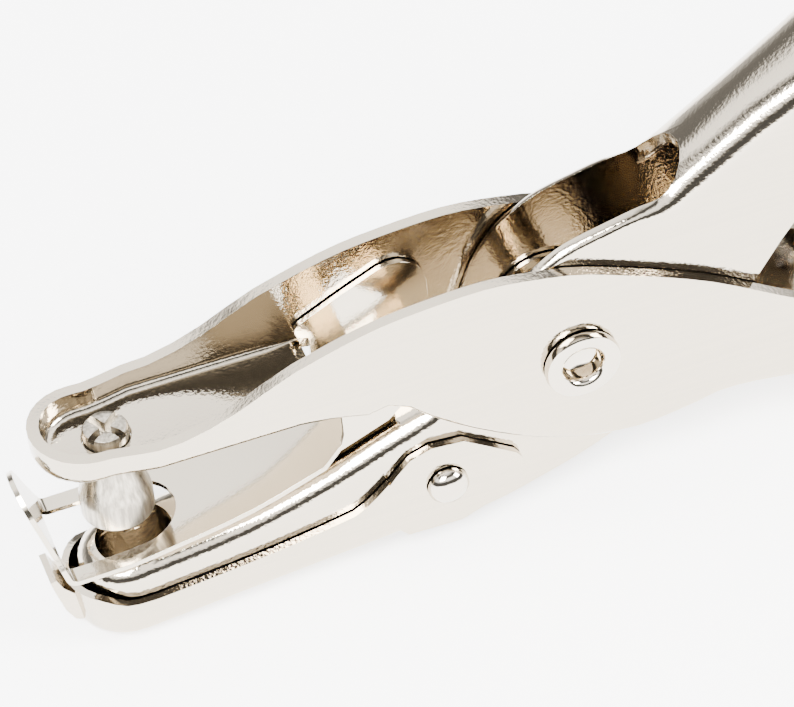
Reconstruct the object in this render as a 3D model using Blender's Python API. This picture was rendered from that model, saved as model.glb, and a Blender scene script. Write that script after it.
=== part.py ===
"""One-hole plier punch.

Two pressed-steel levers cross at a hollow pivot rivet.  The punch lever carries
the upper jaw with the punch, and the lower handle.  The die lever carries the
lower jaw with the die hole and the chip tray, and the upper handle.  A thin
stripper leaf hangs from the upper jaw, and a wire torsion spring between the
handles keeps the jaws apart.

Lengths are in millimetres up to the last step, where MM turns them into metres.
The design frame has its origin on the pivot axis: +X runs to the handles, +Y is
the pivot axis and +Z is up, with the upper jaw level.
"""

import math

import bmesh
import bpy
from mathutils import Matrix, Vector

MM = 0.001

# ---------------------------------------------------------------- driving sizes
JAW_OPEN_DEG = 7.0          # how far the spring holds the jaws apart
GAP = 0.3                   # clearance between neighbouring pieces
PIVOT_X = -18.8425            # puts the origin under the middle of the box
PIVOT_Z = 16.787            # height of the pivot above the table

PUNCH_X = -38.0             # reach of the jaw, pivot to punch axis
PUNCH_R = 3.0               # cutting radius: a 6 mm hole
DIE_R = 3.25
DIE_TOP_Z = -4.8

PUNCH_LEVER_T = 1.0         # sheet thickness
PUNCH_LEVER_HALF = 5.2      # outer half width at the pivot
DIE_LEVER_T = 0.9
DIE_LEVER_HALF = PUNCH_LEVER_HALF - PUNCH_LEVER_T - GAP
TRAY_T = 0.6
TRAY_HALF = DIE_LEVER_HALF + GAP + TRAY_T
LEAF_T = 0.45
LEAF_HALF = 5.0
EAR_HALF = PUNCH_LEVER_HALF - PUNCH_LEVER_T - GAP

GRIP_END_X = 84.0           # end of both handles
GRIP_HALF = 6.6             # half width of the handles at the grip

TUBE_R = 2.15               # barrel of the rivet that carries both levers
TUBE_BORE_R = 1.65
TUBE_FLANGE_R = 3.15
PIN_R = 1.35                # thin shank of the rivet, at its far end
PIN_HEAD_R = 3.3

SPRING_WIRE_R = 0.55
SPRING_COIL_R = 2.6         # to the middle of the wire
SPRING_X = 24.0             # spring pin, on the punch lever
SPRING_Z = -5.6
SPRING_TURNS = 3.0
COIL_HALF = 1.9             # half the length of the coil, between wire middles


# -------------------------------------------------------------- shape helpers
def smooth(points, x):
    """Height at x of a smooth curve through the points (monotone cubic)."""
    xs = [p[0] for p in points]
    zs = [p[1] for p in points]
    if x <= xs[0]:
        return zs[0]
    if x >= xs[-1]:
        return zs[-1]
    slopes = [(zs[i + 1] - zs[i]) / (xs[i + 1] - xs[i]) for i in range(len(xs) - 1)]
    tangents = [slopes[0]]
    for left, right in zip(slopes, slopes[1:]):
        tangents.append(0.0 if left * right <= 0 else 2 * left * right / (left + right))
    tangents.append(slopes[-1])
    i = max(k for k in range(len(xs) - 1) if xs[k] <= x)
    width = xs[i + 1] - xs[i]
    t = (x - xs[i]) / width
    return (
        zs[i] * (1 + 2 * t) * (1 - t) ** 2
        + zs[i + 1] * t * t * (3 - 2 * t)
        + tangents[i] * width * t * (1 - t) ** 2
        - tangents[i + 1] * width * t * t * (1 - t)
    )


def spaced(start, stop, count):
    return [start + (stop - start) * i / (count - 1) for i in range(count)]


def arc(cx, cy, radius, start_deg, stop_deg, count):
    """Points on an arc, both ends included."""
    angles = [math.radians(a) for a in spaced(start_deg, stop_deg, count)]
    return [(cx + radius * math.cos(a), cy + radius * math.sin(a)) for a in angles]


def plain_material(name, colour, roughness, metallic=1.0):
    made = bpy.data.materials.new(name)
    made.use_nodes = True
    shader = made.node_tree.nodes["Principled BSDF"]
    shader.inputs["Base Color"].default_value = (*colour, 1.0)
    shader.inputs["Roughness"].default_value = roughness
    shader.inputs["Metallic"].default_value = metallic
    return made


def object_from(name, work, material, parent=None):
    """Finishes a bmesh in millimetres as an object in metres."""
    bmesh.ops.recalc_face_normals(work, faces=work.faces)
    bmesh.ops.scale(work, vec=Vector((MM, MM, MM)), verts=work.verts)
    mesh = bpy.data.meshes.new(name)
    work.to_mesh(mesh)
    work.free()
    mesh.shade_smooth()
    mesh.set_sharp_from_angle(angle=math.radians(35))
    made = bpy.data.objects.new(name, mesh)
    bpy.context.scene.collection.objects.link(made)
    if material is not None:
        made.data.materials.append(material)
    made.parent = parent
    return made


def extruded(outline, y_low, y_high):
    """A bmesh plate: an outline in X and Z, from y_low to y_high."""
    work = bmesh.new()
    low = [work.verts.new((x, y_low, z)) for x, z in outline]
    high = [work.verts.new((x, y_high, z)) for x, z in outline]
    work.faces.new(low)
    work.faces.new(list(reversed(high)))
    for i in range(len(outline)):
        j = (i + 1) % len(outline)
        work.faces.new((low[i], high[i], high[j], low[j]))
    return work


def raised(outline, z_low, z_high):
    """A bmesh plate: an outline in X and Y, from z_low to z_high."""
    work = bmesh.new()
    low = [work.verts.new((x, y, z_low)) for x, y in outline]
    high = [work.verts.new((x, y, z_high)) for x, y in outline]
    work.faces.new(low)
    work.faces.new(list(reversed(high)))
    for i in range(len(outline)):
        j = (i + 1) % len(outline)
        work.faces.new((low[i], high[i], high[j], low[j]))
    return work


def turned(profile, axis, centre, segments=40):
    """A bmesh turned from (radius, height) points about an axis, closed on it."""
    work = bmesh.new()
    turn = Vector((0, 0, 1)).rotation_difference(Vector(axis)).to_matrix()
    rings = []
    for radius, height in profile:
        if radius == 0:
            rings.append([work.verts.new(turn @ Vector((0, 0, height)) + Vector(centre))])
            continue
        ring = []
        for k in range(segments):
            a = 2 * math.pi * k / segments
            spot = Vector((radius * math.cos(a), radius * math.sin(a), height))
            ring.append(work.verts.new(turn @ spot + Vector(centre)))
        rings.append(ring)
    pairs = list(zip(rings, rings[1:]))
    if len(rings[0]) > 1:
        pairs.append((rings[-1], rings[0]))
    for first, second in pairs:
        for k in range(segments):
            n = (k + 1) % segments
            corners = [first[k % len(first)], first[n % len(first)]]
            corners += [second[n % len(second)], second[k % len(second)]]
            kept = [v for i, v in enumerate(corners) if v not in corners[:i]]
            if len(kept) > 2:
                work.faces.new(kept)
    return work


def cutter(name, work, parent=None):
    made = object_from(name, work, None, parent)
    made.hide_render = True
    made.display_type = "WIRE"
    return made


def combine(target, tool, operation):
    step = target.modifiers.new(tool.name, "BOOLEAN")
    step.operation = operation
    step.solver = "EXACT"
    step.object = tool


def cut(target, *tools):
    for tool in tools:
        combine(target, tool, "DIFFERENCE")


def y_cylinder(x, z, radius, y_low, y_high, segments=32):
    profile = [(0, y_low), (radius, y_low), (radius, y_high), (0, y_high)]
    return turned(profile, (0, 1, 0), (x, 0, z), segments)


# ------------------------------------------------------------- pressed levers
def plan_stations(nose_x, nose_r, tail_x, tail_r, half_width, middle):
    """Half of a plan outline, nose tip to tail tip, as (x, y, normal_x, normal_y)."""
    stations = []
    for angle in spaced(180, 90, 8):
        a = math.radians(angle)
        at = (nose_x + nose_r * math.cos(a), nose_r * math.sin(a))
        stations.append((*at, math.cos(a), math.sin(a)))
    step = 0.01
    for x in middle:
        slope = (half_width(x + step) - half_width(x - step)) / (2 * step)
        length = math.hypot(1, slope)
        stations.append((x, half_width(x), -slope / length, 1 / length))
    for angle in spaced(90, 0, 8):
        a = math.radians(angle)
        at = (tail_x + tail_r * math.cos(a), tail_r * math.sin(a))
        stations.append((*at, math.cos(a), math.sin(a)))
    return stations


def pressed_channel(stations, web, rim, bend, thickness, up, open_tail=False):
    """A pressed channel with a round nose and a round or open tail, as a bmesh.

    web(x) and rim(x) are the heights of the web's outer face and of the walls'
    free edge, bend(x) is the outer bend radius, and up is +1 where the walls rise
    from the web and -1 where they hang from it.
    """
    work = bmesh.new()
    quarter = [math.radians(a) for a in spaced(0, 90, 6)]
    step = 0.05

    def section(station, side):
        x, y, nx, ny = station
        y, ny = y * side, ny * side
        radius = bend(x)
        inner_radius = max(radius - thickness, 0.05)
        slope = (web(x + step) - web(x - step)) / (2 * step)
        deep = thickness * min(math.hypot(1, slope), 1.3)

        def spot(inwards, height):
            return Vector((x - nx * inwards, y - ny * inwards, height))

        ring = [spot(0, rim(x))]
        for a in quarter:
            ring.append(spot(radius * (1 - math.cos(a)), web(x) + up * radius * (1 - math.sin(a))))
        for a in reversed(quarter):
            inwards = thickness + inner_radius * (1 - math.cos(a))
            ring.append(spot(inwards, web(x) + up * (deep + inner_radius * (1 - math.sin(a)))))
        ring.append(spot(thickness, rim(x)))
        return ring

    last = len(stations) - 1
    rows = []
    for j, station in enumerate(stations):
        far = [work.verts.new(p) for p in section(station, 1)]
        shared = j == 0 or (j == last and not open_tail)
        near = far if shared else [work.verts.new(p) for p in section(station, -1)]
        rows.append((near, far))
    count = len(rows[0][0])
    mid_outer = len(quarter)
    mid_inner = mid_outer + 1
    for first, second in zip(rows, rows[1:]):
        for side in (0, 1):
            for k in range(count):
                n = (k + 1) % count
                if (k, n) == (mid_outer, mid_inner):
                    continue
                work.faces.new((first[side][k], first[side][n], second[side][n], second[side][k]))
        for k in (mid_outer, mid_inner):
            corners = [first[0][k], second[0][k], second[1][k], first[1][k]]
            kept = [v for i, v in enumerate(corners) if v not in corners[:i]]
            work.faces.new(kept)
    if open_tail:
        near, far = rows[-1]
        end = near[:mid_inner] + list(reversed(far[:mid_inner]))
        end += list(reversed(far[mid_inner:])) + near[mid_inner:]
        work.faces.new(end)
    return work


def lever_half_width(base, front_half, front_x, wide_x):
    """Half width along a lever: narrow nose, straight middle, wider grip."""

    def width(x):
        if x < 0:
            return smooth([(front_x - 3.2, front_half), (front_x, base)], x)
        return smooth([(wide_x, base), (wide_x + 22, GRIP_HALF - 0.5), (70, GRIP_HALF)], x)

    return width


# Upper jaw and lower handle, from the nose to the grip end.
PUNCH_WEB = [
    (-44.1, 1.2), (-20.5, 1.2), (-18.2, 0.4), (-16.3, 0.8), (-14.2, -0.2), (-12.6, -1.9),
    (-7.3, -5.9), (-3.1, -8.2), (1.2, -9.6), (4.7, -10.1), (9.0, -9.6), (12.0, -9.0),
    (17.6, -9.9), (25.0, -12.0), (35.0, -14.2), (46.0, -16.0), (58.0, -16.78), (70.0, -16.3),
    (86.0, -13.4),
]
PUNCH_RIM = [
    (-44.1, 4.5), (-36.4, 4.1), (-33.3, 4.2), (-30.0, 5.0), (-22.9, 8.2), (-14.5, 10.3),
    (-8.0, 10.7), (-1.2, 9.7), (5.5, 7.1), (11.0, 4.4), (17.9, 0.0), (24.0, -3.4),
    (32.0, -6.4), (45.0, -8.7), (58.0, -9.4), (72.0, -8.8), (86.0, -6.2),
]
# Lower jaw and upper handle.  The die seat is a flat at the nose.
DIE_WEB = [
    (-44.0, DIE_TOP_Z), (-33.4, DIE_TOP_Z), (-28.8, -4.6), (-24.7, -3.9), (-20.5, -3.0),
    (-16.3, -1.8), (-12.2, -0.8), (-9.4, -0.2), (-7.9, 1.0), (-6.8, 3.2), (-4.8, 6.7),
    (-1.9, 9.5), (1.6, 11.0), (5.7, 11.5), (9.0, 11.9), (12.6, 13.8), (19.5, 17.4),
    (26.0, 20.4), (35.0, 23.9), (50.0, 27.8), (66.0, 29.9), (86.0, 29.4),
]
DIE_RIM = [
    (-44.0, -10.6), (-15.9, -10.7), (-14.7, -12.9), (-10.9, -13.2), (-3.5, -12.1),
    (0.2, -11.1), (5.0, -9.1), (10.0, -5.8), (15.6, -0.4), (19.1, 3.8), (24.0, 9.0),
    (30.0, 13.5), (40.0, 18.0), (52.0, 21.0), (66.0, 22.7), (86.0, 22.6),
]


def make_punch_lever(material, parent):
    """Outer lever: upper jaw and lower handle, a channel open at the top."""
    nose_r = 4.55
    nose_x = -39.6
    tail_r = GRIP_HALF
    half = lever_half_width(PUNCH_LEVER_HALF, nose_r, -35.2, 16.0)
    middle = spaced(-38.6, -35.0, 4) + spaced(-33, -21, 6) + spaced(-19.6, 15, 21)
    middle += spaced(17.5, GRIP_END_X - tail_r - 1, 14)
    stations = plan_stations(nose_x, nose_r, GRIP_END_X - tail_r, tail_r, half, middle)

    def bend(x):
        jaw = [(-22.0, 1.7), (-20.5, 1.05), (10.0, 1.05), (22.0, 2.2)]
        return smooth(jaw, x)

    work = pressed_channel(
        stations, lambda x: smooth(PUNCH_WEB, x), lambda x: smooth(PUNCH_RIM, x),
        bend, PUNCH_LEVER_T, 1,
    )
    lever = object_from("punch_lever", work, material, parent)
    inner = PUNCH_LEVER_HALF - PUNCH_LEVER_T
    window = [(-20.6, -30.0), (8.6, -30.0), (8.6, 20.0), (-20.6, 20.0)]
    far = PUNCH_LEVER_HALF + 2
    cut(
        lever,
        cutter("punch_lever_window", extruded(window, -inner, inner), parent),
        cutter("punch_lever_tube_hole", y_cylinder(0, 0, TUBE_R + GAP, -far, -1), parent),
        cutter("punch_lever_pin_hole", y_cylinder(0, 0, PIN_R + GAP, 1, far), parent),
        cutter("punch_seat", turned(
            [(0, -5), (STEM_R + GAP, -5), (STEM_R + GAP, 5), (0, 5)],
            (0, 0, 1), (PUNCH_X, 0, 1.7), 32,
        ), parent),
        cutter("spring_pin_hole", y_cylinder(SPRING_X, SPRING_Z, 1.2 + GAP, -12, 12, 24), parent),
    )
    return lever


def make_die_lever(material, parent):
    """Inner lever: lower jaw and upper handle, a channel open at the bottom."""
    nose_r = DIE_LEVER_HALF
    nose_x = -43.3 + nose_r
    tail_r = GRIP_HALF
    half = lever_half_width(DIE_LEVER_HALF, DIE_LEVER_HALF, -35.2, 20.0)
    middle = spaced(-38.4, -34, 3) + [-33.6, -33.1, -32.6, -32.0] + spaced(-30, -16.8, 6)
    middle += [-16.2, -15.6, -15.0] + spaced(-13.5, -8.6, 4) + spaced(-8, 12, 22)
    middle += spaced(14, GRIP_END_X - tail_r - 1, 15)
    stations = plan_stations(nose_x, nose_r, GRIP_END_X - tail_r, tail_r, half, middle)

    def bend(x):
        return smooth([(-13.0, 2.1), (-9.5, 0.95), (6.5, 0.95), (12.0, 3.1), (20.0, 3.4)], x)

    work = pressed_channel(
        stations, lambda x: smooth(DIE_WEB, x), lambda x: smooth(DIE_RIM, x),
        bend, DIE_LEVER_T, -1,
    )
    lever = object_from("die_lever", work, material, parent)
    inner = DIE_LEVER_HALF - DIE_LEVER_T
    window = [(-10.6, inner), (-10.6, -inner)] + arc(9.6, 0, inner, -90, 90, 11)
    cut(
        lever,
        cutter("die_lever_window", raised(window, -30, 30), parent),
        cutter("die_lever_tube_hole", y_cylinder(0, 0, TUBE_R + GAP, -8, -1), parent),
        cutter("die_lever_pin_hole", y_cylinder(0, 0, PIN_R + GAP, 1, 8), parent),
        cutter("die_hole", turned(
            [(0, -3), (DIE_R, -3), (DIE_R, 3), (0, 3)], (0, 0, 1), (PUNCH_X, 0, DIE_TOP_Z), 40,
        ), parent),
        cutter("tray_nub_holes", y_cylinder(NUB_X, NUB_Z, NUB_R + GAP, -8, 8, 24), parent),
    )
    return lever


# ------------------------------------------------------------- small hardware
STEM_R = 1.9                # staked end of the punch, above the jaw
NUB_X = -13.0               # hinge dimple of the chip tray
NUB_Z = -8.1
NUB_R = 1.1


def make_punch_pin(material, parent):
    """Conical punch with a waist, staked through the upper jaw."""
    web = 1.2
    profile = [
        (0, -5.45), (PUNCH_R - 0.5, -5.45), (PUNCH_R - 0.15, -5.8), (PUNCH_R, -5.6),
        (PUNCH_R, -4.0), (PUNCH_R - 0.08, -3.5), (2.4, -1.7), (2.25, -1.2), (2.15, -0.6),
        (2.1, web - GAP), (STEM_R, web - GAP),
        (STEM_R, web + 1.7), (STEM_R - 0.15, web + 2.0), (1.3, web + 2.1), (0, web + 1.9),
    ]
    work = turned(profile, (0, 0, 1), (PUNCH_X, 0, 0), 40)
    return object_from("punch_pin", work, material, parent)


def make_pivot_rivet(material, parent):
    """Semi-tubular rivet: blind bore and rolled flange near, thin shank and head far."""
    face = PUNCH_LEVER_HALF + GAP
    lip = face + 0.85
    profile = [
        (0, -face - 1.05), (1.5, -face - 0.98), (2.7, -face - 0.75), (PIN_HEAD_R, -face - 0.35),
        (PIN_HEAD_R, -face), (PIN_R, -face), (PIN_R, -1.0), (TUBE_R, -1.0), (TUBE_R, face),
        (TUBE_FLANGE_R, face), (TUBE_FLANGE_R + 0.08, face + 0.3), (TUBE_FLANGE_R - 0.05, lip - 0.15),
        (TUBE_FLANGE_R - 0.3, lip), (2.3, lip), (1.95, lip - 0.12), (1.75, lip - 0.35),
        (TUBE_BORE_R, lip - 0.7), (TUBE_BORE_R - 0.1, lip - 1.7), (0, lip - 2.5),
    ]
    work = turned(profile, (0, -1, 0), (0, 0, 0), 40)
    return object_from("pivot_rivet", work, material, parent)


def make_pivot_washer(material, parent):
    """Thin ring between the die lever's far cheek and the end of the hollow rivet."""
    inner = DIE_LEVER_HALF - DIE_LEVER_T - GAP
    profile = [(PIN_R + GAP, inner - 0.35), (4.6, inner - 0.35), (4.6, inner), (PIN_R + GAP, inner)]
    work = turned(profile, (0, 1, 0), (0, 0, 0), 40)
    return object_from("pivot_washer", work, material, parent)


# --------------------------------------------------------------- stripper leaf
# Middle line of the leaf, from its rear end to the foot of the front flap.
LEAF_LINE = [(-46.0, -7.9), (-39.5, -7.8), (-34.0, -7.0), (-28.5, -5.9), (-22.0, -3.6), (-16.0, -1.1)]
FLAP_FOOT_X = -43.9
FLAP_TOP = (-46.1, 0.3)
WINDOW_FRONT_X = -43.6
WINDOW_REAR_X = -33.4
WINDOW_HALF = 3.45


def leaf_half(x):
    return smooth([(-21.9, LEAF_HALF), (-20.3, EAR_HALF)], x)


def make_stripper(material, parent):
    """Spring-steel leaf with a window for the punch, an upright flap and two ears."""
    xs = spaced(-16.0, -20.3, 4) + [-21.1, -21.9] + spaced(-24, -43, 10)
    path = [(x, smooth(LEAF_LINE, x), leaf_half(x)) for x in xs]
    foot_z = smooth(LEAF_LINE, FLAP_FOOT_X)
    lean = math.atan2(FLAP_TOP[1] - foot_z, FLAP_FOOT_X - FLAP_TOP[0])
    turn_r = 0.8
    for a in spaced(0, math.degrees(lean), 5)[1:]:
        a = math.radians(a)
        x = -43.0 - turn_r * math.sin(a)
        path.append((x, foot_z + turn_r * (1 - math.cos(a)), LEAF_HALF))
    start_x, start_z, _ = path[-1]
    rise = math.hypot(start_x - FLAP_TOP[0], FLAP_TOP[1] - start_z)
    for s in (0.12, 0.25, 0.4, 0.55, 0.68, 0.8, 0.9, 0.97, 1.0):
        # The flap narrows in a smooth shoulder and ends in a round tab.
        half = smooth([(0, LEAF_HALF), (0.3, 3.9), (0.62, 3.0), (0.8, 2.75)], s)
        tip = max(0.0, 1 - ((s - 0.66) / 0.34) ** 2) if s > 0.66 else 1.0
        half *= max(math.sqrt(tip), 0.12)
        path.append((
            start_x + (FLAP_TOP[0] - start_x) * s, start_z + (FLAP_TOP[1] - start_z) * s, half,
        ))
    work = bmesh.new()
    rows = []
    for i, (x, z, half) in enumerate(path):
        before = path[max(i - 1, 0)]
        after = path[min(i + 1, len(path) - 1)]
        tangent = Vector((after[0] - before[0], 0, after[1] - before[1])).normalized()
        normal = Vector((-tangent.z, 0, tangent.x)) * (LEAF_T / 2)
        row = []
        for offset, y in ((normal, -half), (normal, half), (-normal, half), (-normal, -half)):
            row.append(work.verts.new(Vector((x, y, z)) + offset))
        rows.append(row)
    for first, second in zip(rows, rows[1:]):
        for k in range(4):
            n = (k + 1) % 4
            work.faces.new((first[k], first[n], second[n], second[k]))
    work.faces.new(rows[0])
    work.faces.new(list(reversed(rows[-1])))
    leaf = object_from("stripper_leaf", work, material, parent)

    # The window runs a little way up the flap, and its rear end is round.
    rear_x = WINDOW_REAR_X - WINDOW_HALF
    outline = [(-48.0, -2.2), (-48.0, 2.2), (WINDOW_FRONT_X, WINDOW_HALF)]
    outline += arc(rear_x, 0, WINDOW_HALF, 90, -90, 17)
    outline += [(WINDOW_FRONT_X, -WINDOW_HALF)]
    hole = raised(outline, -12.0, foot_z + 1.9)
    cut(leaf, cutter("stripper_window", hole, parent))
    for side, name in ((-1, "near"), (1, "far")):
        ear = [(-20.2, -2.95), (-15.9, -1.25), (-13.6, 0.9), (-10.6, 1.9), (-9.6, 3.2)]
        ear += arc(-12.4, 5.0, 2.8, 0, 115, 7) + [(-16.5, 6.2)]
        ear += arc(-20.1, 3.45, 0.85, 110, 260, 7) + [(-19.85, 2.5), (-19.8, 1.4), (-19.8, -1.5)]
        low = EAR_HALF - LEAF_T
        work = extruded(ear, min(side * low, side * EAR_HALF), max(side * low, side * EAR_HALF))
        combine(leaf, cutter("stripper_ear_" + name, work, parent), "UNION")
    return leaf


# ------------------------------------------------------------------- chip tray
TRAY_FLOOR = [(-45.0, -11.62), (-15.3, -12.4)]
TRAY_RIM = [
    (-44.6, -6.4), (-42.8, -6.6), (-40.5, -7.6), (-37.8, -8.0), (-30.2, -8.1), (-21.2, -7.7),
    (-18.4, -6.3), (-15.6, -4.1), (-13.5, -3.6), (-10.8, -4.2), (-9.0, -5.8), (-7.6, -7.2),
]


def make_chip_tray(material, parent):
    """Tray that clips round the lower jaw and swings down to drop the chips."""
    nose_r = TRAY_HALF
    nose_x = -44.6 + nose_r + 0.1
    stations = []
    for angle in spaced(180, 90, 9):
        a = math.radians(angle)
        at = (nose_x + nose_r * math.cos(a), nose_r * math.sin(a))
        stations.append((*at, math.cos(a), math.sin(a)))
    rear = spaced(-38.2, -23, 7) + spaced(-21, -17.6, 4)
    stations += [(x, TRAY_HALF, 0.0, 1.0) for x in rear]
    work = pressed_channel(
        stations, lambda x: smooth(TRAY_FLOOR, x), lambda x: smooth(TRAY_RIM, x),
        lambda x: 1.5, TRAY_T, 1, open_tail=True,
    )
    tray = object_from("chip_tray", work, material, parent)

    # Ears behind the floor, which hold the hinge dimples, and the thumb lip in front.
    for side, name in ((-1, "near"), (1, "far")):
        low = TRAY_HALF - TRAY_T
        ear = [(-18.1, -10.8), (-18.1, -6.4), (-16.8, -5.1), (-15.4, -4.0), (-13.5, -3.6), (-10.8, -4.2)]
        ear += [(-8.6, -6.2)] + arc(-9.0, -9.3, 2.6, 35, -65, 6) + [(-12.6, -12.9), (-17.2, -12.2)]
        work = extruded(ear, min(side * low, side * TRAY_HALF), max(side * low, side * TRAY_HALF))
        combine(tray, cutter("tray_ear_" + name, work, parent), "UNION")
    lip = [(-44.1, -9.4), (-44.1, -7.2), (-44.9, -6.0), (-45.2, -4.9), (-45.75, -4.9)]
    lip += [(-45.6, -6.4), (-45.3, -8.6), (-44.8, -9.9), (-44.2, -10.3)]
    combine(tray, cutter("tray_lip", extruded(lip, -1.7, 1.7), parent), "UNION")
    cut(tray, cutter("tray_ear_holes", y_cylinder(NUB_X, NUB_Z, NUB_R + GAP, -8, 8, 24), parent))
    return tray


def make_tray_nub(name, side, material, parent):
    """Domed hinge rivet of the tray, through the tray's ear and the lever's cheek."""
    face = TRAY_HALF + GAP
    profile = [(0, DIE_LEVER_HALF - DIE_LEVER_T - 0.9), (NUB_R, DIE_LEVER_HALF - DIE_LEVER_T - 0.9)]
    profile += [(NUB_R, face), (1.75, face), (1.7, face + 0.35), (1.3, face + 0.8), (0.7, face + 1.05)]
    profile += [(0, face + 1.12)]
    work = turned(profile, (0, side, 0), (NUB_X, 0, NUB_Z), 28)
    return object_from(name, work, material, parent)


# -------------------------------------------------------------- return spring
def make_spring_pin(material, parent):
    """Cross pin in the lower handle that the spring is wound on."""
    half = [(1.2, 5.95), (1.9, 5.95), (1.9, 6.3), (1.3, 6.8), (0, 6.8)]
    profile = [(radius, -height) for radius, height in reversed(half)] + half
    work = turned(profile, (0, 1, 0), (SPRING_X, 0, SPRING_Z), 24)
    return object_from("spring_pin", work, material, parent)


def coil_point(turn_deg, y):
    a = math.radians(turn_deg)
    reach = (math.cos(a) * SPRING_COIL_R, math.sin(a) * SPRING_COIL_R)
    return Vector((SPRING_X + reach[0], y, SPRING_Z + reach[1]))


def make_wire(name, points, material, parent):
    curve = bpy.data.curves.new(name, "CURVE")
    curve.dimensions = "3D"
    curve.bevel_depth = SPRING_WIRE_R * MM
    curve.bevel_resolution = 1
    curve.use_fill_caps = True
    line = curve.splines.new("POLY")
    line.points.add(len(points) - 1)
    for target, point in zip(line.points, points):
        target.co = (*(point * MM), 1.0)
    made = bpy.data.objects.new(name, curve)
    bpy.context.scene.collection.objects.link(made)
    curve.materials.append(material)
    made.parent = parent
    return made


def make_springs(material, parent):
    """Torsion spring: the coil with its lower leg, and the arm that turns with it."""
    first, last = -95, -95 + 360 * SPRING_TURNS
    steps = int(SPRING_TURNS * 20)
    coil = [coil_point(a, -COIL_HALF + 2 * COIL_HALF * i / steps)
            for i, a in enumerate(spaced(first, last, steps + 1))]
    lower = [Vector((48.0, -COIL_HALF, -12.6)), Vector((36.0, -COIL_HALF, -10.6))]
    make_wire("return_spring", lower + coil, material, parent)
    pin = bpy.data.objects.new("spring_arm_axis", None)
    bpy.context.scene.collection.objects.link(pin)
    pin.parent = parent
    pin.location = (SPRING_X * MM, 0, SPRING_Z * MM)
    y = COIL_HALF + 2 * SPRING_WIRE_R + GAP
    around = [coil_point(a, y) for a in spaced(-150, -25, 9)]
    arm = around + [Vector((37.2, y, 27.6)), Vector((38.6, y, 29.0))]
    centre = Vector((SPRING_X, 0, SPRING_Z))
    make_wire("spring_arm", [p - centre for p in arm], material, pin)


# ----------------------------------------------------------------------- build
def main():
    for old in list(bpy.data.objects):
        bpy.data.objects.remove(old, do_unlink=True)

    nickel = plain_material("nickel_plate", (0.80, 0.77, 0.71), 0.12)
    bright = plain_material("bright_nickel", (0.84, 0.81, 0.75), 0.08)
    turned_steel = plain_material("turned_steel", (0.74, 0.71, 0.66), 0.22)
    spring_steel = plain_material("spring_steel", (0.62, 0.61, 0.60), 0.25)

    # Everything hangs from the pivot axis; the die lever's pieces swing about it.
    pivot = bpy.data.objects.new("pivot_axis", None)
    swing = bpy.data.objects.new("die_lever_axis", None)
    for empty in (pivot, swing):
        bpy.context.scene.collection.objects.link(empty)
    swing.parent = pivot
    swing.rotation_euler = (0, math.radians(-JAW_OPEN_DEG), 0)
    pivot.location = (PIVOT_X * MM, 0, PIVOT_Z * MM)

    make_punch_lever(nickel, pivot)
    make_punch_pin(turned_steel, pivot)
    make_pivot_rivet(bright, pivot)
    make_pivot_washer(bright, pivot)
    make_stripper(bright, pivot)
    make_spring_pin(bright, pivot)
    make_springs(spring_steel, pivot)
    make_die_lever(nickel, swing)
    make_chip_tray(nickel, swing)
    make_tray_nub("tray_rivet_near", -1, bright, swing)
    make_tray_nub("tray_rivet_far", 1, bright, swing)


main()
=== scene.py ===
"""One-hole plier punch: the finished look, on the frame of its CAD model."""

import math

import bmesh
import bpy
from mathutils import Matrix, Vector


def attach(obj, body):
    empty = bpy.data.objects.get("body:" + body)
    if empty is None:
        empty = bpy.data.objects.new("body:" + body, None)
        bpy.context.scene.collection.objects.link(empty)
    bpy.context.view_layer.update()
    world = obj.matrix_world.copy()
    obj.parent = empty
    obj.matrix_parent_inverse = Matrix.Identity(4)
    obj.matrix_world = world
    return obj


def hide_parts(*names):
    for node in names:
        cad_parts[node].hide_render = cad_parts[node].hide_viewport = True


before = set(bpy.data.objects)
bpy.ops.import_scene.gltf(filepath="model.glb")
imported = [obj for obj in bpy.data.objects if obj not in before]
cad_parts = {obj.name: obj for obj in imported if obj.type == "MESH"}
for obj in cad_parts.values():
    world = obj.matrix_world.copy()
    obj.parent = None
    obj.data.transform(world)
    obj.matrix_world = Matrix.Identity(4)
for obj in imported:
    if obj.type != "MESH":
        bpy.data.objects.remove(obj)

MM = 0.001

# ---------------------------------------------------------------- driving sizes
JAW_OPEN_DEG = 7.0          # how far the spring holds the jaws apart
GAP = 0.16                  # clearance between neighbouring pieces
PIVOT_X = -18.8425          # puts the origin under the middle of the box
PIVOT_Z = 16.787            # height of the pivot above the table

PUNCH_X = -38.0             # reach of the jaw, pivot to punch axis
PUNCH_R = 3.0               # cutting radius: a 6 mm hole
UPPER_JAW_Z = 1.2           # underside of the upper jaw
STEM_R = 1.9                # staked end of the punch, above the upper jaw
STAKE_RISE = 2.1            # from the jaw's underside to the top of that end
DIE_R = 3.25
DIE_TOP_Z = -4.8

PUNCH_LEVER_T = 1.0         # sheet thickness
PUNCH_LEVER_HALF = 5.2      # outer half width at the pivot
PUNCH_NOSE_X = -39.6        # middle of the round nose
PUNCH_NOSE_R = 4.55
DIE_LEVER_T = 0.9
DIE_LEVER_HALF = PUNCH_LEVER_HALF - PUNCH_LEVER_T - GAP
DIE_FRONT_X = -43.3         # front of the lower jaw
JAW_BLEND_X = -35.2         # where both jaws reach their full width
TRAY_T = 0.6
TRAY_HALF = DIE_LEVER_HALF + GAP + TRAY_T
TRAY_FRONT_X = -44.5
LEAF_T = 0.45
LEAF_HALF = 5.0
EAR_HALF = PUNCH_LEVER_HALF - PUNCH_LEVER_T - GAP

GRIP_END_X = 84.0           # end of both handles
GRIP_HALF = 6.6             # half width of the handles at the grip

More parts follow.
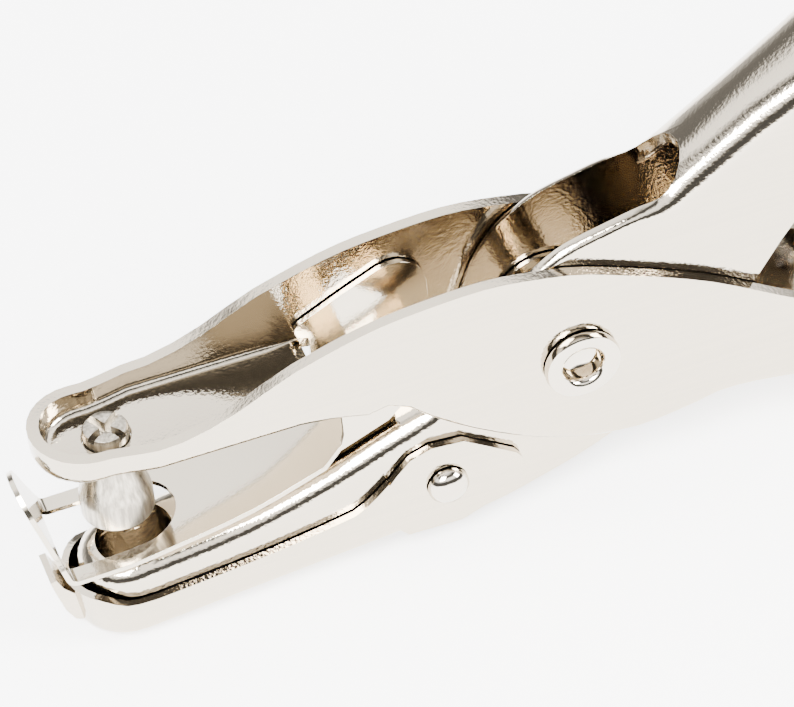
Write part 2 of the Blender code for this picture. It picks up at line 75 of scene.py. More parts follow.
TUBE_R = 2.15               # barrel of the rivet that carries both levers
TUBE_BORE_R = 1.65
TUBE_FLANGE_R = 3.15
PIN_R = 1.35                # thin shank of the rivet, at its far end
PIN_HEAD_R = 3.3
WASHER_R = 4.6
WASHER_T = 0.35

NUB_X = -13.0               # hinge rivets of the chip tray
NUB_Z = -8.1
NUB_R = 1.1

SPRING_WIRE_R = 0.55
SPRING_COIL_R = 2.6         # to the middle of the wire
SPRING_X = 24.0             # spring pin, on the punch lever
SPRING_Z = -5.6
SPRING_PIN_R = 1.2
SPRING_TURNS = 3.0
SPRING_START_DEG = -95
COIL_HALF = 1.9             # half the length of the coil, between wire middles
LEG_ENDS = ((48.0, -12.6), (36.0, -10.6))   # X and Z, in the lower handle
ARM_ENDS = ((37.2, 27.6), (38.6, 29.0))     # X and Z, under the upper handle

SHARP_DEG = 35              # edges steeper than this are shaded sharp
BEVEL_DEG = 50              # edges steeper than this are rounded


# -------------------------------------------------------------- shape helpers
def smooth(points, x):
    """Height at x of a smooth curve through the points (monotone cubic)."""
    xs = [p[0] for p in points]
    zs = [p[1] for p in points]
    if x <= xs[0]:
        return zs[0]
    if x >= xs[-1]:
        return zs[-1]
    slopes = [(zs[i + 1] - zs[i]) / (xs[i + 1] - xs[i]) for i in range(len(xs) - 1)]
    tangents = [slopes[0]]
    for left, right in zip(slopes, slopes[1:]):
        tangents.append(0.0 if left * right <= 0 else 2 * left * right / (left + right))
    tangents.append(slopes[-1])
    i = max(k for k in range(len(xs) - 1) if xs[k] <= x)
    width = xs[i + 1] - xs[i]
    t = (x - xs[i]) / width
    return (
        zs[i] * (1 + 2 * t) * (1 - t) ** 2
        + zs[i + 1] * t * t * (3 - 2 * t)
        + tangents[i] * width * t * (1 - t) ** 2
        - tangents[i + 1] * width * t * t * (1 - t)
    )


def spaced(start, stop, count):
    """Evenly spaced values, both ends included."""
    return [start + (stop - start) * i / (count - 1) for i in range(count)]


def arc(cx, cy, radius, start_deg, stop_deg, count):
    """Points on an arc, both ends included."""
    angles = [math.radians(a) for a in spaced(start_deg, stop_deg, count)]
    return [(cx + radius * math.cos(a), cy + radius * math.sin(a)) for a in angles]


def object_from(name, work, material, place):
    """Finishes a bmesh in millimetres as an object in metres, moved by place."""
    bmesh.ops.recalc_face_normals(work, faces=work.faces)
    bmesh.ops.scale(work, vec=Vector((MM, MM, MM)), verts=work.verts)
    bmesh.ops.transform(work, matrix=place, verts=work.verts)
    mesh = bpy.data.meshes.new("shown_" + name)
    work.to_mesh(mesh)
    work.free()
    mesh.shade_smooth()
    mesh.set_sharp_from_angle(angle=math.radians(SHARP_DEG))
    made = bpy.data.objects.new("shown_" + name, mesh)
    bpy.context.scene.collection.objects.link(made)
    if material is not None:
        made.data.materials.append(material)
    return made


def prism(low_ring, high_ring):
    """A bmesh between two matching rings of points."""
    work = bmesh.new()
    low = [work.verts.new(point) for point in low_ring]
    high = [work.verts.new(point) for point in high_ring]
    work.faces.new(low)
    work.faces.new(list(reversed(high)))
    for i in range(len(low)):
        j = (i + 1) % len(low)
        work.faces.new((low[i], high[i], high[j], low[j]))
    return work


def extruded(outline, y_low, y_high):
    """A bmesh plate: an outline in X and Z, from y_low to y_high."""
    return prism([(x, y_low, z) for x, z in outline], [(x, y_high, z) for x, z in outline])


def raised(outline, z_low, z_high):
    """A bmesh plate: an outline in X and Y, from z_low to z_high."""
    return prism([(x, y, z_low) for x, y in outline], [(x, y, z_high) for x, y in outline])


def side_plate(outline, side, y_inner, y_outer):
    """The extruded plate of a cheek: side is -1 near and 1 far."""
    low, high = sorted((side * y_inner, side * y_outer))
    return extruded(outline, low, high)


def turned(profile, axis, centre, segments=40):
    """A bmesh turned from (radius, height) points about an axis, closed on it."""
    work = bmesh.new()
    turn = Vector((0, 0, 1)).rotation_difference(Vector(axis)).to_matrix()
    rings = []
    for radius, height in profile:
        if radius == 0:
            rings.append([work.verts.new(turn @ Vector((0, 0, height)) + Vector(centre))])
            continue
        ring = []
        for k in range(segments):
            a = 2 * math.pi * k / segments
            spot = Vector((radius * math.cos(a), radius * math.sin(a), height))
            ring.append(work.verts.new(turn @ spot + Vector(centre)))
        rings.append(ring)
    pairs = list(zip(rings, rings[1:]))
    if len(rings[0]) > 1:
        pairs.append((rings[-1], rings[0]))
    for first, second in pairs:
        for k in range(segments):
            n = (k + 1) % segments
            corners = [first[k % len(first)], first[n % len(first)]]
            corners += [second[n % len(second)], second[k % len(second)]]
            kept = [v for i, v in enumerate(corners) if v not in corners[:i]]
            if len(kept) > 2:
                work.faces.new(kept)
    return work


def cutter(name, work, place):
    """A hidden object for a boolean step."""
    made = object_from(name, work, None, place)
    made.hide_render = True
    made.display_type = "WIRE"
    return made


def combine(target, tool, operation):
    """Adds a boolean step; the tool hangs under its target, so it moves with it."""
    step = target.modifiers.new(tool.name, "BOOLEAN")
    step.operation = operation
    step.solver = "EXACT"
    step.object = tool
    tool.parent = target


def cut(target, *tools):
    for tool in tools:
        combine(target, tool, "DIFFERENCE")


def y_cylinder(x, z, radius, y_low, y_high, segments=32):
    """A bmesh cylinder along Y."""
    profile = [(0, y_low), (radius, y_low), (radius, y_high), (0, y_high)]
    return turned(profile, (0, 1, 0), (x, 0, z), segments)


# ------------------------------------------------------------- pressed levers
def round_end(x, radius, start_deg, stop_deg, count):
    """Stations round a nose or a tail, as (x, y, normal_x, normal_y)."""
    stations = []
    for angle in spaced(start_deg, stop_deg, count):
        a = math.radians(angle)
        at = (x + radius * math.cos(a), radius * math.sin(a))
        stations.append((*at, math.cos(a), math.sin(a)))
    return stations


def plan_stations(nose_x, nose_r, tail_x, tail_r, half_width, middle):
    """Half of a plan outline, nose tip to tail tip, as (x, y, normal_x, normal_y)."""
    stations = round_end(nose_x, nose_r, 180, 90, 8)
    step = 0.01
    for x in middle:
        slope = (half_width(x + step) - half_width(x - step)) / (2 * step)
        length = math.hypot(1, slope)
        stations.append((x, half_width(x), -slope / length, 1 / length))
    return stations + round_end(tail_x, tail_r, 90, 0, 8)


def pressed_channel(stations, web, rim, bend, thickness, up, open_tail=False):
    """A pressed channel with a round nose and a round or open tail, as a bmesh.

    web(x) and rim(x) are the heights of the web's outer face and of the walls'
    free edge, bend(x) is the outer bend radius, and up is +1 where the walls rise
    from the web and -1 where they hang from it.
    """
    work = bmesh.new()
    quarter = [math.radians(a) for a in spaced(0, 90, 6)]
    step = 0.05

    def section(station, side):
        x, y, nx, ny = station
        y, ny = y * side, ny * side
        radius = bend(x)
        inner_radius = max(radius - thickness, 0.05)
        slope = (web(x + step) - web(x - step)) / (2 * step)
        deep = thickness * min(math.hypot(1, slope), 1.3)

        def spot(inwards, height):
            return Vector((x - nx * inwards, y - ny * inwards, height))

        ring = [spot(0, rim(x))]
        for a in quarter:
            rise = radius * (1 - math.sin(a))
            ring.append(spot(radius * (1 - math.cos(a)), web(x) + up * rise))
        for a in reversed(quarter):
            rise = deep + inner_radius * (1 - math.sin(a))
            inwards = thickness + inner_radius * (1 - math.cos(a))
            ring.append(spot(inwards, web(x) + up * rise))
        ring.append(spot(thickness, rim(x)))
        return ring

    last = len(stations) - 1
    rows = []
    for j, station in enumerate(stations):
        far = [work.verts.new(p) for p in section(station, 1)]
        shared = j == 0 or (j == last and not open_tail)
        near = far if shared else [work.verts.new(p) for p in section(station, -1)]
        rows.append((near, far))
    count = len(rows[0][0])
    mid_outer = len(quarter)
    mid_inner = mid_outer + 1
    for first, second in zip(rows, rows[1:]):
        for side in (0, 1):
            for k in range(count):
                n = (k + 1) % count
                if (k, n) == (mid_outer, mid_inner):
                    continue
                a, b = first[side], second[side]
                work.faces.new((a[k], a[n], b[n], b[k]))
        for k in (mid_outer, mid_inner):
            corners = [first[0][k], second[0][k], second[1][k], first[1][k]]
            kept = [v for i, v in enumerate(corners) if v not in corners[:i]]
            work.faces.new(kept)
    if open_tail:
        near, far = rows[-1]
        end = near[:mid_inner] + list(reversed(far[:mid_inner]))
        end += list(reversed(far[mid_inner:])) + near[mid_inner:]
        work.faces.new(end)
    return work


def lever_half_width(base, front_half, front_x, wide_x):
    """Half width along a lever: narrow nose, straight middle, wider grip."""

    def width(x):
        if x < 0:
            return smooth([(front_x - 3.2, front_half), (front_x, base)], x)
        return smooth([(wide_x, base), (wide_x + 22, GRIP_HALF - 0.5), (70, GRIP_HALF)], x)

    return width


# Heights of the web's outer face and of the walls' free edge, from the nose to the
# grip end.  First the upper jaw and lower handle.
PUNCH_WEB = [
    (-44.1, UPPER_JAW_Z), (-20.5, UPPER_JAW_Z), (-18.2, 0.4), (-16.3, 0.8), (-14.2, -0.2),
    (-12.6, -1.9),
    (-7.3, -5.9), (-3.1, -8.2), (1.2, -9.6), (4.7, -10.1), (9.0, -9.6), (12.0, -9.0),
    (17.6, -9.9), (25.0, -12.0), (35.0, -14.2), (46.0, -16.0), (58.0, -16.78), (70.0, -16.3),
    (86.0, -13.4),
]
PUNCH_RIM = [
    (-44.1, 4.5), (-36.4, 4.1), (-33.3, 4.2), (-30.0, 5.0), (-22.9, 8.2), (-14.5, 10.3),
    (-8.0, 10.7), (-1.2, 9.7), (5.5, 7.1), (11.0, 4.4), (17.9, 0.0), (24.0, -3.4),
    (32.0, -6.4), (45.0, -8.7), (58.0, -9.4), (72.0, -8.8), (86.0, -6.2),
]
# The same for the lower jaw and upper handle.  The die seat is a flat at the nose.
DIE_WEB = [
    (-44.0, DIE_TOP_Z), (-33.4, DIE_TOP_Z), (-28.8, -4.6), (-24.7, -3.9), (-20.5, -3.0),
    (-16.3, -1.8), (-12.2, -0.8), (-9.4, -0.2), (-7.9, 1.0), (-6.8, 3.2), (-4.8, 6.7),
    (-1.9, 9.5), (1.6, 11.0), (5.7, 11.5), (9.0, 11.9), (12.6, 13.8), (19.5, 17.4),
    (26.0, 20.4), (35.0, 23.9), (50.0, 27.8), (66.0, 29.9), (86.0, 29.4),
]
DIE_RIM = [
    (-44.0, -10.6), (-15.9, -10.7), (-14.7, -12.9), (-10.9, -13.2), (-3.5, -12.1),
    (0.2, -11.1), (5.0, -9.1), (10.0, -5.8), (15.6, -0.4), (19.1, 3.8), (24.0, 9.0),
    (30.0, 13.5), (40.0, 18.0), (52.0, 21.0), (66.0, 22.7), (86.0, 22.6),
]


def make_punch_lever(material, place):
    """Outer lever: upper jaw and lower handle, a channel open at the top."""
    tail_x = GRIP_END_X - GRIP_HALF
    half = lever_half_width(PUNCH_LEVER_HALF, PUNCH_NOSE_R, JAW_BLEND_X, 16.0)
    middle = spaced(-38.6, -35.0, 4) + spaced(-33, -21, 6) + spaced(-19.6, 15, 21)
    middle += spaced(17.5, tail_x - 1, 14)
    stations = plan_stations(PUNCH_NOSE_X, PUNCH_NOSE_R, tail_x, GRIP_HALF, half, middle)

    def bend(x):
        return smooth([(-22.0, 1.7), (-20.5, 1.05), (10.0, 1.05), (22.0, 2.2)], x)

    work = pressed_channel(
        stations, lambda x: smooth(PUNCH_WEB, x), lambda x: smooth(PUNCH_RIM, x),
        bend, PUNCH_LEVER_T, 1,
    )
    lever = object_from("punch_lever", work, material, place)
    inner = PUNCH_LEVER_HALF - PUNCH_LEVER_T
    window = [(-20.6, -30.0), (8.6, -30.0), (8.6, 20.0), (-20.6, 20.0)]
    far = PUNCH_LEVER_HALF + 2
    cut(
        lever,
        cutter("punch_lever_window", extruded(window, -inner, inner), place),
        cutter("punch_lever_tube_hole", y_cylinder(0, 0, TUBE_R + GAP, -far, -1), place),
        cutter("punch_lever_pin_hole", y_cylinder(0, 0, PIN_R + GAP, 1, far), place),
        cutter("punch_seat", turned(
            [(0, -5), (STEM_R + GAP, -5), (STEM_R + GAP, 5), (0, 5)],
            (0, 0, 1), (PUNCH_X, 0, 1.7), 32,
        ), place),
        cutter("spring_pin_hole", y_cylinder(
            SPRING_X, SPRING_Z, SPRING_PIN_R + GAP, -12, 12, 24,
        ), place),
    )
    soften(lever, 0.16)
    return lever


def make_die_lever(material, place):
    """Inner lever: lower jaw and upper handle, a channel open at the bottom."""
    nose_x = DIE_FRONT_X + DIE_LEVER_HALF
    tail_x = GRIP_END_X - GRIP_HALF
    half = lever_half_width(DIE_LEVER_HALF, DIE_LEVER_HALF, JAW_BLEND_X, 20.0)
    middle = spaced(-38.4, -34, 3) + [-33.6, -33.1, -32.6, -32.0] + spaced(-30, -16.8, 6)
    middle += [-16.2, -15.6, -15.0] + spaced(-13.5, -8.6, 4) + spaced(-8, 12, 22)
    middle += spaced(14, tail_x - 1, 15)
    stations = plan_stations(nose_x, DIE_LEVER_HALF, tail_x, GRIP_HALF, half, middle)

    def bend(x):
        return smooth([(-13.0, 2.1), (-9.5, 0.95), (6.5, 0.95), (12.0, 3.1), (20.0, 3.4)], x)

    work = pressed_channel(
        stations, lambda x: smooth(DIE_WEB, x), lambda x: smooth(DIE_RIM, x),
        bend, DIE_LEVER_T, -1,
    )
    lever = object_from("die_lever", work, material, place)
    inner = DIE_LEVER_HALF - DIE_LEVER_T
    window = [(-10.6, inner), (-10.6, -inner)] + arc(9.6, 0, inner, -90, 90, 11)
    cut(
        lever,
        cutter("die_lever_window", raised(window, -30, 30), place),
        cutter("die_lever_tube_hole", y_cylinder(0, 0, TUBE_R + GAP, -8, -1), place),
        cutter("die_lever_pin_hole", y_cylinder(0, 0, PIN_R + GAP, 1, 8), place),
        cutter("die_hole", turned(
            [(0, -3), (DIE_R, -3), (DIE_R, 3), (0, 3)], (0, 0, 1), (PUNCH_X, 0, DIE_TOP_Z), 40,
        ), place),
        cutter("tray_nub_holes", y_cylinder(NUB_X, NUB_Z, NUB_R + GAP, -8, 8, 24), place),
    )
    soften(lever, 0.14)
    return lever


# ------------------------------------------------------------- small hardware
def make_punch_pin(material, place):
    """Conical punch with a waist, staked through the upper jaw."""
    web = UPPER_JAW_Z
    profile = [
        (0, -5.45), (PUNCH_R - 0.5, -5.45), (PUNCH_R - 0.15, -5.8), (PUNCH_R, -5.6),
        (PUNCH_R, -4.0), (PUNCH_R - 0.08, -3.5), (2.4, -1.7), (2.25, -1.2), (2.15, -0.6),
        (2.1, web - GAP), (STEM_R, web - GAP),
        (STEM_R, web + 1.7), (STEM_R - 0.15, web + 2.0), (1.3, web + STAKE_RISE),
        (0, web + 1.9),
    ]
    work = turned(profile, (0, 0, 1), (PUNCH_X, 0, 0), 40)
    return object_from("punch_pin", work, material, place)


def make_pivot_rivet(material, place):
    """Semi-tubular rivet: blind bore and rolled flange near, thin shank and head far."""
    face = PUNCH_LEVER_HALF + GAP
    lip = face + 0.85
    profile = [
        (0, -face - 1.05), (1.5, -face - 0.98), (2.7, -face - 0.75),
        (PIN_HEAD_R, -face - 0.35), (PIN_HEAD_R, -face), (PIN_R, -face), (PIN_R, -1.0),
        (TUBE_R, -1.0), (TUBE_R, face), (TUBE_FLANGE_R, face),
        (TUBE_FLANGE_R + 0.08, face + 0.3), (TUBE_FLANGE_R - 0.05, lip - 0.15),
        (TUBE_FLANGE_R - 0.3, lip), (2.3, lip), (1.95, lip - 0.12), (1.75, lip - 0.35),
        (TUBE_BORE_R, lip - 0.7), (TUBE_BORE_R - 0.1, lip - 1.7), (0, lip - 2.5),
    ]
    work = turned(profile, (0, -1, 0), (0, 0, 0), 40)
    return object_from("pivot_rivet", work, material, place)


def make_pivot_washer(material, place):
    """Thin ring between the die lever's far cheek and the end of the hollow rivet."""
    outer = DIE_LEVER_HALF - DIE_LEVER_T - GAP
    inner = outer - WASHER_T
    profile = [(PIN_R + GAP, inner), (WASHER_R, inner), (WASHER_R, outer), (PIN_R + GAP, outer)]
    work = turned(profile, (0, 1, 0), (0, 0, 0), 40)
    return object_from("pivot_washer", work, material, place)


# --------------------------------------------------------------- stripper leaf
# Middle line of the leaf, from the foot of the front flap to its rear end.
LEAF_LINE = [
    (-46.0, -7.9), (-39.5, -7.8), (-34.0, -7.0), (-28.5, -5.9), (-22.0, -3.6), (-16.0, -1.1),
]
LEAF_BEND_X = -43.0         # where the plate starts to turn up into the flap
LEAF_BEND_R = 0.8
FLAP_FOOT_X = -43.9
FLAP_TOP = (-46.1, 0.3)
WINDOW_FRONT_X = -43.6
WINDOW_REAR_X = -33.4
WINDOW_HALF = 3.45


def leaf_half(x):
    """Half width of the leaf, which steps in where it enters the outer lever."""
    return smooth([(-21.9, LEAF_HALF), (-20.3, EAR_HALF)], x)


def make_stripper(material, place):
    """Spring-steel leaf with a window for the punch, an upright flap and two ears."""
    xs = spaced(-16.0, -20.3, 4) + [-21.1, -21.9] + spaced(-24, LEAF_BEND_X, 10)
    path = [(x, smooth(LEAF_LINE, x), leaf_half(x)) for x in xs]
    foot_z = smooth(LEAF_LINE, FLAP_FOOT_X)
    lean = math.atan2(FLAP_TOP[1] - foot_z, FLAP_FOOT_X - FLAP_TOP[0])
    for a in spaced(0, math.degrees(lean), 5)[1:]:
        a = math.radians(a)
        x = LEAF_BEND_X - LEAF_BEND_R * math.sin(a)
        path.append((x, foot_z + LEAF_BEND_R * (1 - math.cos(a)), LEAF_HALF))
    start_x, start_z, _ = path[-1]
    for s in (0.12, 0.25, 0.4, 0.55, 0.68, 0.8, 0.9, 0.97, 1.0):
        # The flap narrows in a smooth shoulder and ends in a round tab.
        half = smooth([(0, LEAF_HALF), (0.3, 3.9), (0.62, 3.0), (0.8, 2.75)], s)
        tip = max(0.0, 1 - ((s - 0.66) / 0.34) ** 2) if s > 0.66 else 1.0
        half *= max(math.sqrt(tip), 0.12)
        x = start_x + (FLAP_TOP[0] - start_x) * s
        path.append((x, start_z + (FLAP_TOP[1] - start_z) * s, half))
    work = bmesh.new()
    rows = []
    for i, (x, z, half) in enumerate(path):
        before = path[max(i - 1, 0)]
        after = path[min(i + 1, len(path) - 1)]
        tangent = Vector((after[0] - before[0], 0, after[1] - before[1])).normalized()
        normal = Vector((-tangent.z, 0, tangent.x)) * (LEAF_T / 2)
        row = []
        for offset, y in ((normal, -half), (normal, half), (-normal, half), (-normal, -half)):
            row.append(work.verts.new(Vector((x, y, z)) + offset))
        rows.append(row)
    for first, second in zip(rows, rows[1:]):
        for k in range(4):
            n = (k + 1) % 4
            work.faces.new((first[k], first[n], second[n], second[k]))
    work.faces.new(rows[0])
    work.faces.new(list(reversed(rows[-1])))
    leaf = object_from("stripper_leaf", work, material, place)

    # The window runs a little way up the flap, and its rear end is round.
    rear_x = WINDOW_REAR_X - WINDOW_HALF
    outline = [(-48.0, -2.2), (-48.0, 2.2), (WINDOW_FRONT_X, WINDOW_HALF)]
    outline += arc(rear_x, 0, WINDOW_HALF, 90, -90, 17)
    outline += [(WINDOW_FRONT_X, -WINDOW_HALF)]
    hole = raised(outline, -12.0, foot_z + 1.9)
    cut(leaf, cutter("stripper_window", hole, place))
    for side, name in ((-1, "near"), (1, "far")):
        ear = [(-20.2, -2.95), (-15.9, -1.25), (-13.6, 0.9), (-10.6, 1.9), (-9.6, 3.2)]
        ear += arc(-12.4, 5.0, 2.8, 0, 115, 7) + [(-16.5, 6.2)]
        ear += arc(-20.1, 3.45, 0.85, 110, 260, 7) + [(-19.85, 2.5), (-19.8, 1.4), (-19.8, -1.5)]
        work = side_plate(ear, side, EAR_HALF - LEAF_T, EAR_HALF)
        combine(leaf, cutter("stripper_ear_" + name, work, place), "UNION")
    soften(leaf, 0.08)
    return leaf


# ------------------------------------------------------------------- chip tray
TRAY_FLOOR = [(-45.0, -11.62), (-15.3, -12.4)]
TRAY_RIM = [
    (-44.6, -6.4), (-42.8, -6.6), (-40.5, -7.6), (-37.8, -8.0), (-30.2, -8.1), (-21.2, -7.7),
    (-18.4, -6.3), (-15.6, -4.1), (-13.5, -3.6), (-10.8, -4.2), (-9.0, -5.8), (-7.6, -7.2),
]


def make_chip_tray(material, place):
    """Tray that clips round the lower jaw and swings down to drop the chips."""
    stations = round_end(TRAY_FRONT_X + TRAY_HALF, TRAY_HALF, 180, 90, 9)
    rear = spaced(-38.2, -23, 7) + spaced(-21, -17.6, 4)
    stations += [(x, TRAY_HALF, 0.0, 1.0) for x in rear]
    work = pressed_channel(
        stations, lambda x: smooth(TRAY_FLOOR, x), lambda x: smooth(TRAY_RIM, x),
        lambda x: 1.5, TRAY_T, 1, open_tail=True,
    )
    tray = object_from("chip_tray", work, material, place)

    # Ears behind the floor, which hold the hinge rivets, and the thumb lip in front.
    for side, name in ((-1, "near"), (1, "far")):
        ear = [
            (-18.1, -10.8), (-18.1, -6.4), (-16.8, -5.1), (-15.4, -4.0), (-13.5, -3.6),
            (-10.8, -4.2), (-8.6, -6.2), *arc(-9.0, -9.3, 2.6, 35, -65, 6),
            (-12.6, -12.9), (-17.2, -12.2),
        ]
        work = side_plate(ear, side, TRAY_HALF - TRAY_T, TRAY_HALF)
        combine(tray, cutter("tray_ear_" + name, work, place), "UNION")
    lip = [(-44.1, -9.4), (-44.1, -7.2), (-44.9, -6.0), (-45.2, -4.9), (-45.75, -4.9)]
    lip += [(-45.6, -6.4), (-45.3, -8.6), (-44.8, -9.9), (-44.2, -10.3)]
    combine(tray, cutter("tray_lip", extruded(lip, -1.7, 1.7), place), "UNION")
    cut(tray, cutter("tray_ear_holes", y_cylinder(NUB_X, NUB_Z, NUB_R + GAP, -8, 8, 24), place))
    soften(tray, 0.1)
    return tray


def make_tray_nub(name, side, material, place):
    """Domed hinge rivet of the tray, through the tray's ear and the lever's cheek."""
    face = TRAY_HALF + GAP
    inside = DIE_LEVER_HALF - DIE_LEVER_T - 0.9
    profile = [
        (0, inside), (NUB_R, inside), (NUB_R, face), (1.75, face), (1.7, face + 0.35),
        (1.3, face + 0.8), (0.7, face + 1.05), (0, face + 1.12),
    ]
    work = turned(profile, (0, side, 0), (NUB_X, 0, NUB_Z), 28)
    return object_from(name, work, material, place)


# -------------------------------------------------------------- return spring
def make_spring_pin(material, place):
    """Cross pin in the lower handle that the spring is wound on."""
    half = [(SPRING_PIN_R, 5.95), (1.9, 5.95), (1.9, 6.3), (1.3, 6.8), (0, 6.8)]
    profile = [(radius, -height) for radius, height in reversed(half)] + half
    work = turned(profile, (0, 1, 0), (SPRING_X, 0, SPRING_Z), 24)
    return object_from("spring_pin", work, material, place)


def coil_point(turn_deg, y):
    """Point on the middle line of the coil's wire."""
    a = math.radians(turn_deg)
    reach = (math.cos(a) * SPRING_COIL_R, math.sin(a) * SPRING_COIL_R)
    return Vector((SPRING_X + reach[0], y, SPRING_Z + reach[1]))


def make_wire(name, points, material, place):
    """A round wire along points in millimetres."""
    curve = bpy.data.curves.new(name, "CURVE")
    curve.dimensions = "3D"
    curve.bevel_depth = SPRING_WIRE_R * MM
    curve.bevel_resolution = 4
    curve.use_fill_caps = True
    line = curve.splines.new("POLY")
    line.points.add(len(points) - 1)
    for target, point in zip(line.points, points):
        target.co = (*(place @ (point * MM)), 1.0)
    made = bpy.data.objects.new("shown_" + name, curve)
    bpy.context.scene.collection.objects.link(made)
    curve.materials.append(material)
    return made


def make_springs(material, place):
    """Torsion spring: the coil with its lower leg, and the arm that turns with it."""
    first, last = SPRING_START_DEG, SPRING_START_DEG + 360 * SPRING_TURNS
    steps = int(SPRING_TURNS * 20)
    coil = [coil_point(a, -COIL_HALF + 2 * COIL_HALF * i / steps)
            for i, a in enumerate(spaced(first, last, steps + 1))]
    lower = [Vector((x, -COIL_HALF, z)) for x, z in LEG_ENDS]
    whole = make_wire("return_spring", lower + coil, material, place)
    y = COIL_HALF + 2 * SPRING_WIRE_R + GAP
    around = [coil_point(a, y) for a in spaced(-150, -25, 9)]
    arm = around + [Vector((x, y, z)) for x, z in ARM_ENDS]
    return whole, make_wire("spring_arm", arm, material, place)


# ------------------------------------------------------------------ finishes
PEEL_DEPTH = 0.000016       # metres, at a peel of 1
SCRATCH_DEPTH = 0.000004    # metres, at scratches of 1
SCRATCH_SHADE = 0.09        # how much darker a scratch is, at scratches of 1
CHEEK_STREAKS = (60.0, 60.0, 2600.0)        # noise scales of streaks along the sheet
TURNING_MARKS = (3000, 3000, 350)           # and of marks round a turned piece


def nickel(name, colour, roughness, peel=0.0, scratches=0.0, brushed=CHEEK_STREAKS):
    """Plated steel: tinted mirror with orange peel and faint scratches."""
    made = bpy.data.materials.new(name)
    made.use_nodes = True
    nodes = made.node_tree.nodes
    links = made.node_tree.links
    shader = nodes["Principled BSDF"]
    shader.inputs["Base Color"].default_value = (*colour, 1.0)
    shader.inputs["Metallic"].default_value = 1.0
    shader.inputs["Roughness"].default_value = roughness
    spots = nodes.new("ShaderNodeTexCoord")

    # Roughness drifts a little over the surface.
    cloud = nodes.new("ShaderNodeTexNoise")
    cloud.inputs["Scale"].default_value = 160.0
    cloud.inputs["Detail"].default_value = 4.0
    links.new(spots.outputs["Object"], cloud.inputs["Vector"])
    spread = nodes.new("ShaderNodeMapRange")
    spread.inputs["To Min"].default_value = roughness * 0.7
    spread.inputs["To Max"].default_value = roughness * 1.4
    links.new(cloud.outputs["Fac"], spread.inputs["Value"])
    links.new(spread.outputs["Result"], shader.inputs["Roughness"])

    # Orange peel, then fine scratches or turning marks, as one bump.
    bump = nodes.new("ShaderNodeBump")
    bump.inputs["Strength"].default_value = 1.0
    bump.inputs["Distance"].default_value = PEEL_DEPTH * peel
    grain = nodes.new("ShaderNodeTexNoise")
    grain.inputs["Scale"].default_value = 3200.0
    grain.inputs["Detail"].default_value = 2.0
    links.new(spots.outputs["Object"], grain.inputs["Vector"])
    links.new(grain.outputs["Fac"], bump.inputs["Height"])
    lines = nodes.new("ShaderNodeMapping")
    lines.inputs["Scale"].default_value = brushed
    links.new(spots.outputs["Object"], lines.inputs["Vector"])
    streak = nodes.new("ShaderNodeTexNoise")
    streak.inputs["Scale"].default_value = 1.0
    streak.inputs["Detail"].default_value = 3.0
    links.new(lines.outputs["Vector"], streak.inputs["Vector"])
    # Worn streaks are also a little darker than the plate round them.
    shade = nodes.new("ShaderNodeMapRange")
    shade.inputs["From Min"].default_value = 0.35
    shade.inputs["From Max"].default_value = 0.65
    shade.inputs["To Min"].default_value = 1.0 - SCRATCH_SHADE * scratches
    shade.inputs["To Max"].default_value = 1.0
    links.new(streak.outputs["Fac"], shade.inputs["Value"])
    dim = nodes.new("ShaderNodeVectorMath")
    dim.operation = "SCALE"
    dim.inputs[0].default_value = colour
    links.new(shade.outputs["Result"], dim.inputs["Scale"])
    links.new(dim.outputs["Vector"], shader.inputs["Base Color"])
    fine = nodes.new("ShaderNodeBump")
    fine.inputs["Strength"].default_value = 1.0
    fine.inputs["Distance"].default_value = SCRATCH_DEPTH * scratches
    links.new(streak.outputs["Fac"], fine.inputs["Height"])
    links.new(bump.outputs["Normal"], fine.inputs["Normal"])
    links.new(fine.outputs["Normal"], shader.inputs["Normal"])
    return made


def matte(name, colour):
    """A dull surface with no gloss at all."""
    made = bpy.data.materials.new(name)
    made.use_nodes = True
    shader = made.node_tree.nodes["Principled BSDF"]
    shader.inputs["Base Color"].default_value = (*colour, 1.0)
    shader.inputs["Roughness"].default_value = 0.9
    shader.inputs["Specular IOR Level"].default_value = 0.0
    return made


# --------------------------------------------------------------------- studio
FLOOR_Z = -0.0004           # just under the lowest piece
FLOOR_GLOW = 1.6
ROOM_STRENGTH = 4.0
SIDE_BLEND = 0.15           # half width of the blend from the front to the back
# Grey levels by height: 0 is the horizon and 1 is overhead.
FRONT_BANDS = (
    (0.0, 1.0), (0.04, 0.05), (0.34, 0.04), (0.44, 0.9), (0.62, 1.1), (0.72, 0.05),
    (0.86, 0.05), (1.0, 0.9),
)
BACK_BANDS = (
    (0.0, 1.0), (0.10, 0.35), (0.22, 0.25), (0.34, 0.10), (0.53, 0.08), (0.62, 1.0),
    (0.8, 1.15), (1.0, 0.9),
)
LENS_MM = 219.96
CAMERA_X, CAMERA_Y, CAMERA_Z = -85.289, -267.079, 273.224   # from the pivot
CAMERA_RIGHT = (0.9402, -0.3316, -0.0781)
CAMERA_BACK = (-0.1848, -0.6889, 0.7009)


def make_floor():
    """A white table that glows, so it stays white under the object."""
    work = bmesh.new()
    bmesh.ops.create_grid(work, x_segments=1, y_segments=1, size=4.0)
    mesh = bpy.data.meshes.new("floor")
    work.to_mesh(mesh)
    work.free()
    floor = bpy.data.objects.new("floor", mesh)
    floor.location = (0, 0, FLOOR_Z)
    bpy.context.scene.collection.objects.link(floor)
    paper = matte("floor_white", (0.96, 0.96, 0.96))
    glow = paper.node_tree.nodes["Principled BSDF"]
    glow.inputs["Emission Color"].default_value = (1.0, 1.0, 1.0, 1.0)
    glow.inputs["Emission Strength"].default_value = FLOOR_GLOW
    floor.data.materials.append(paper)


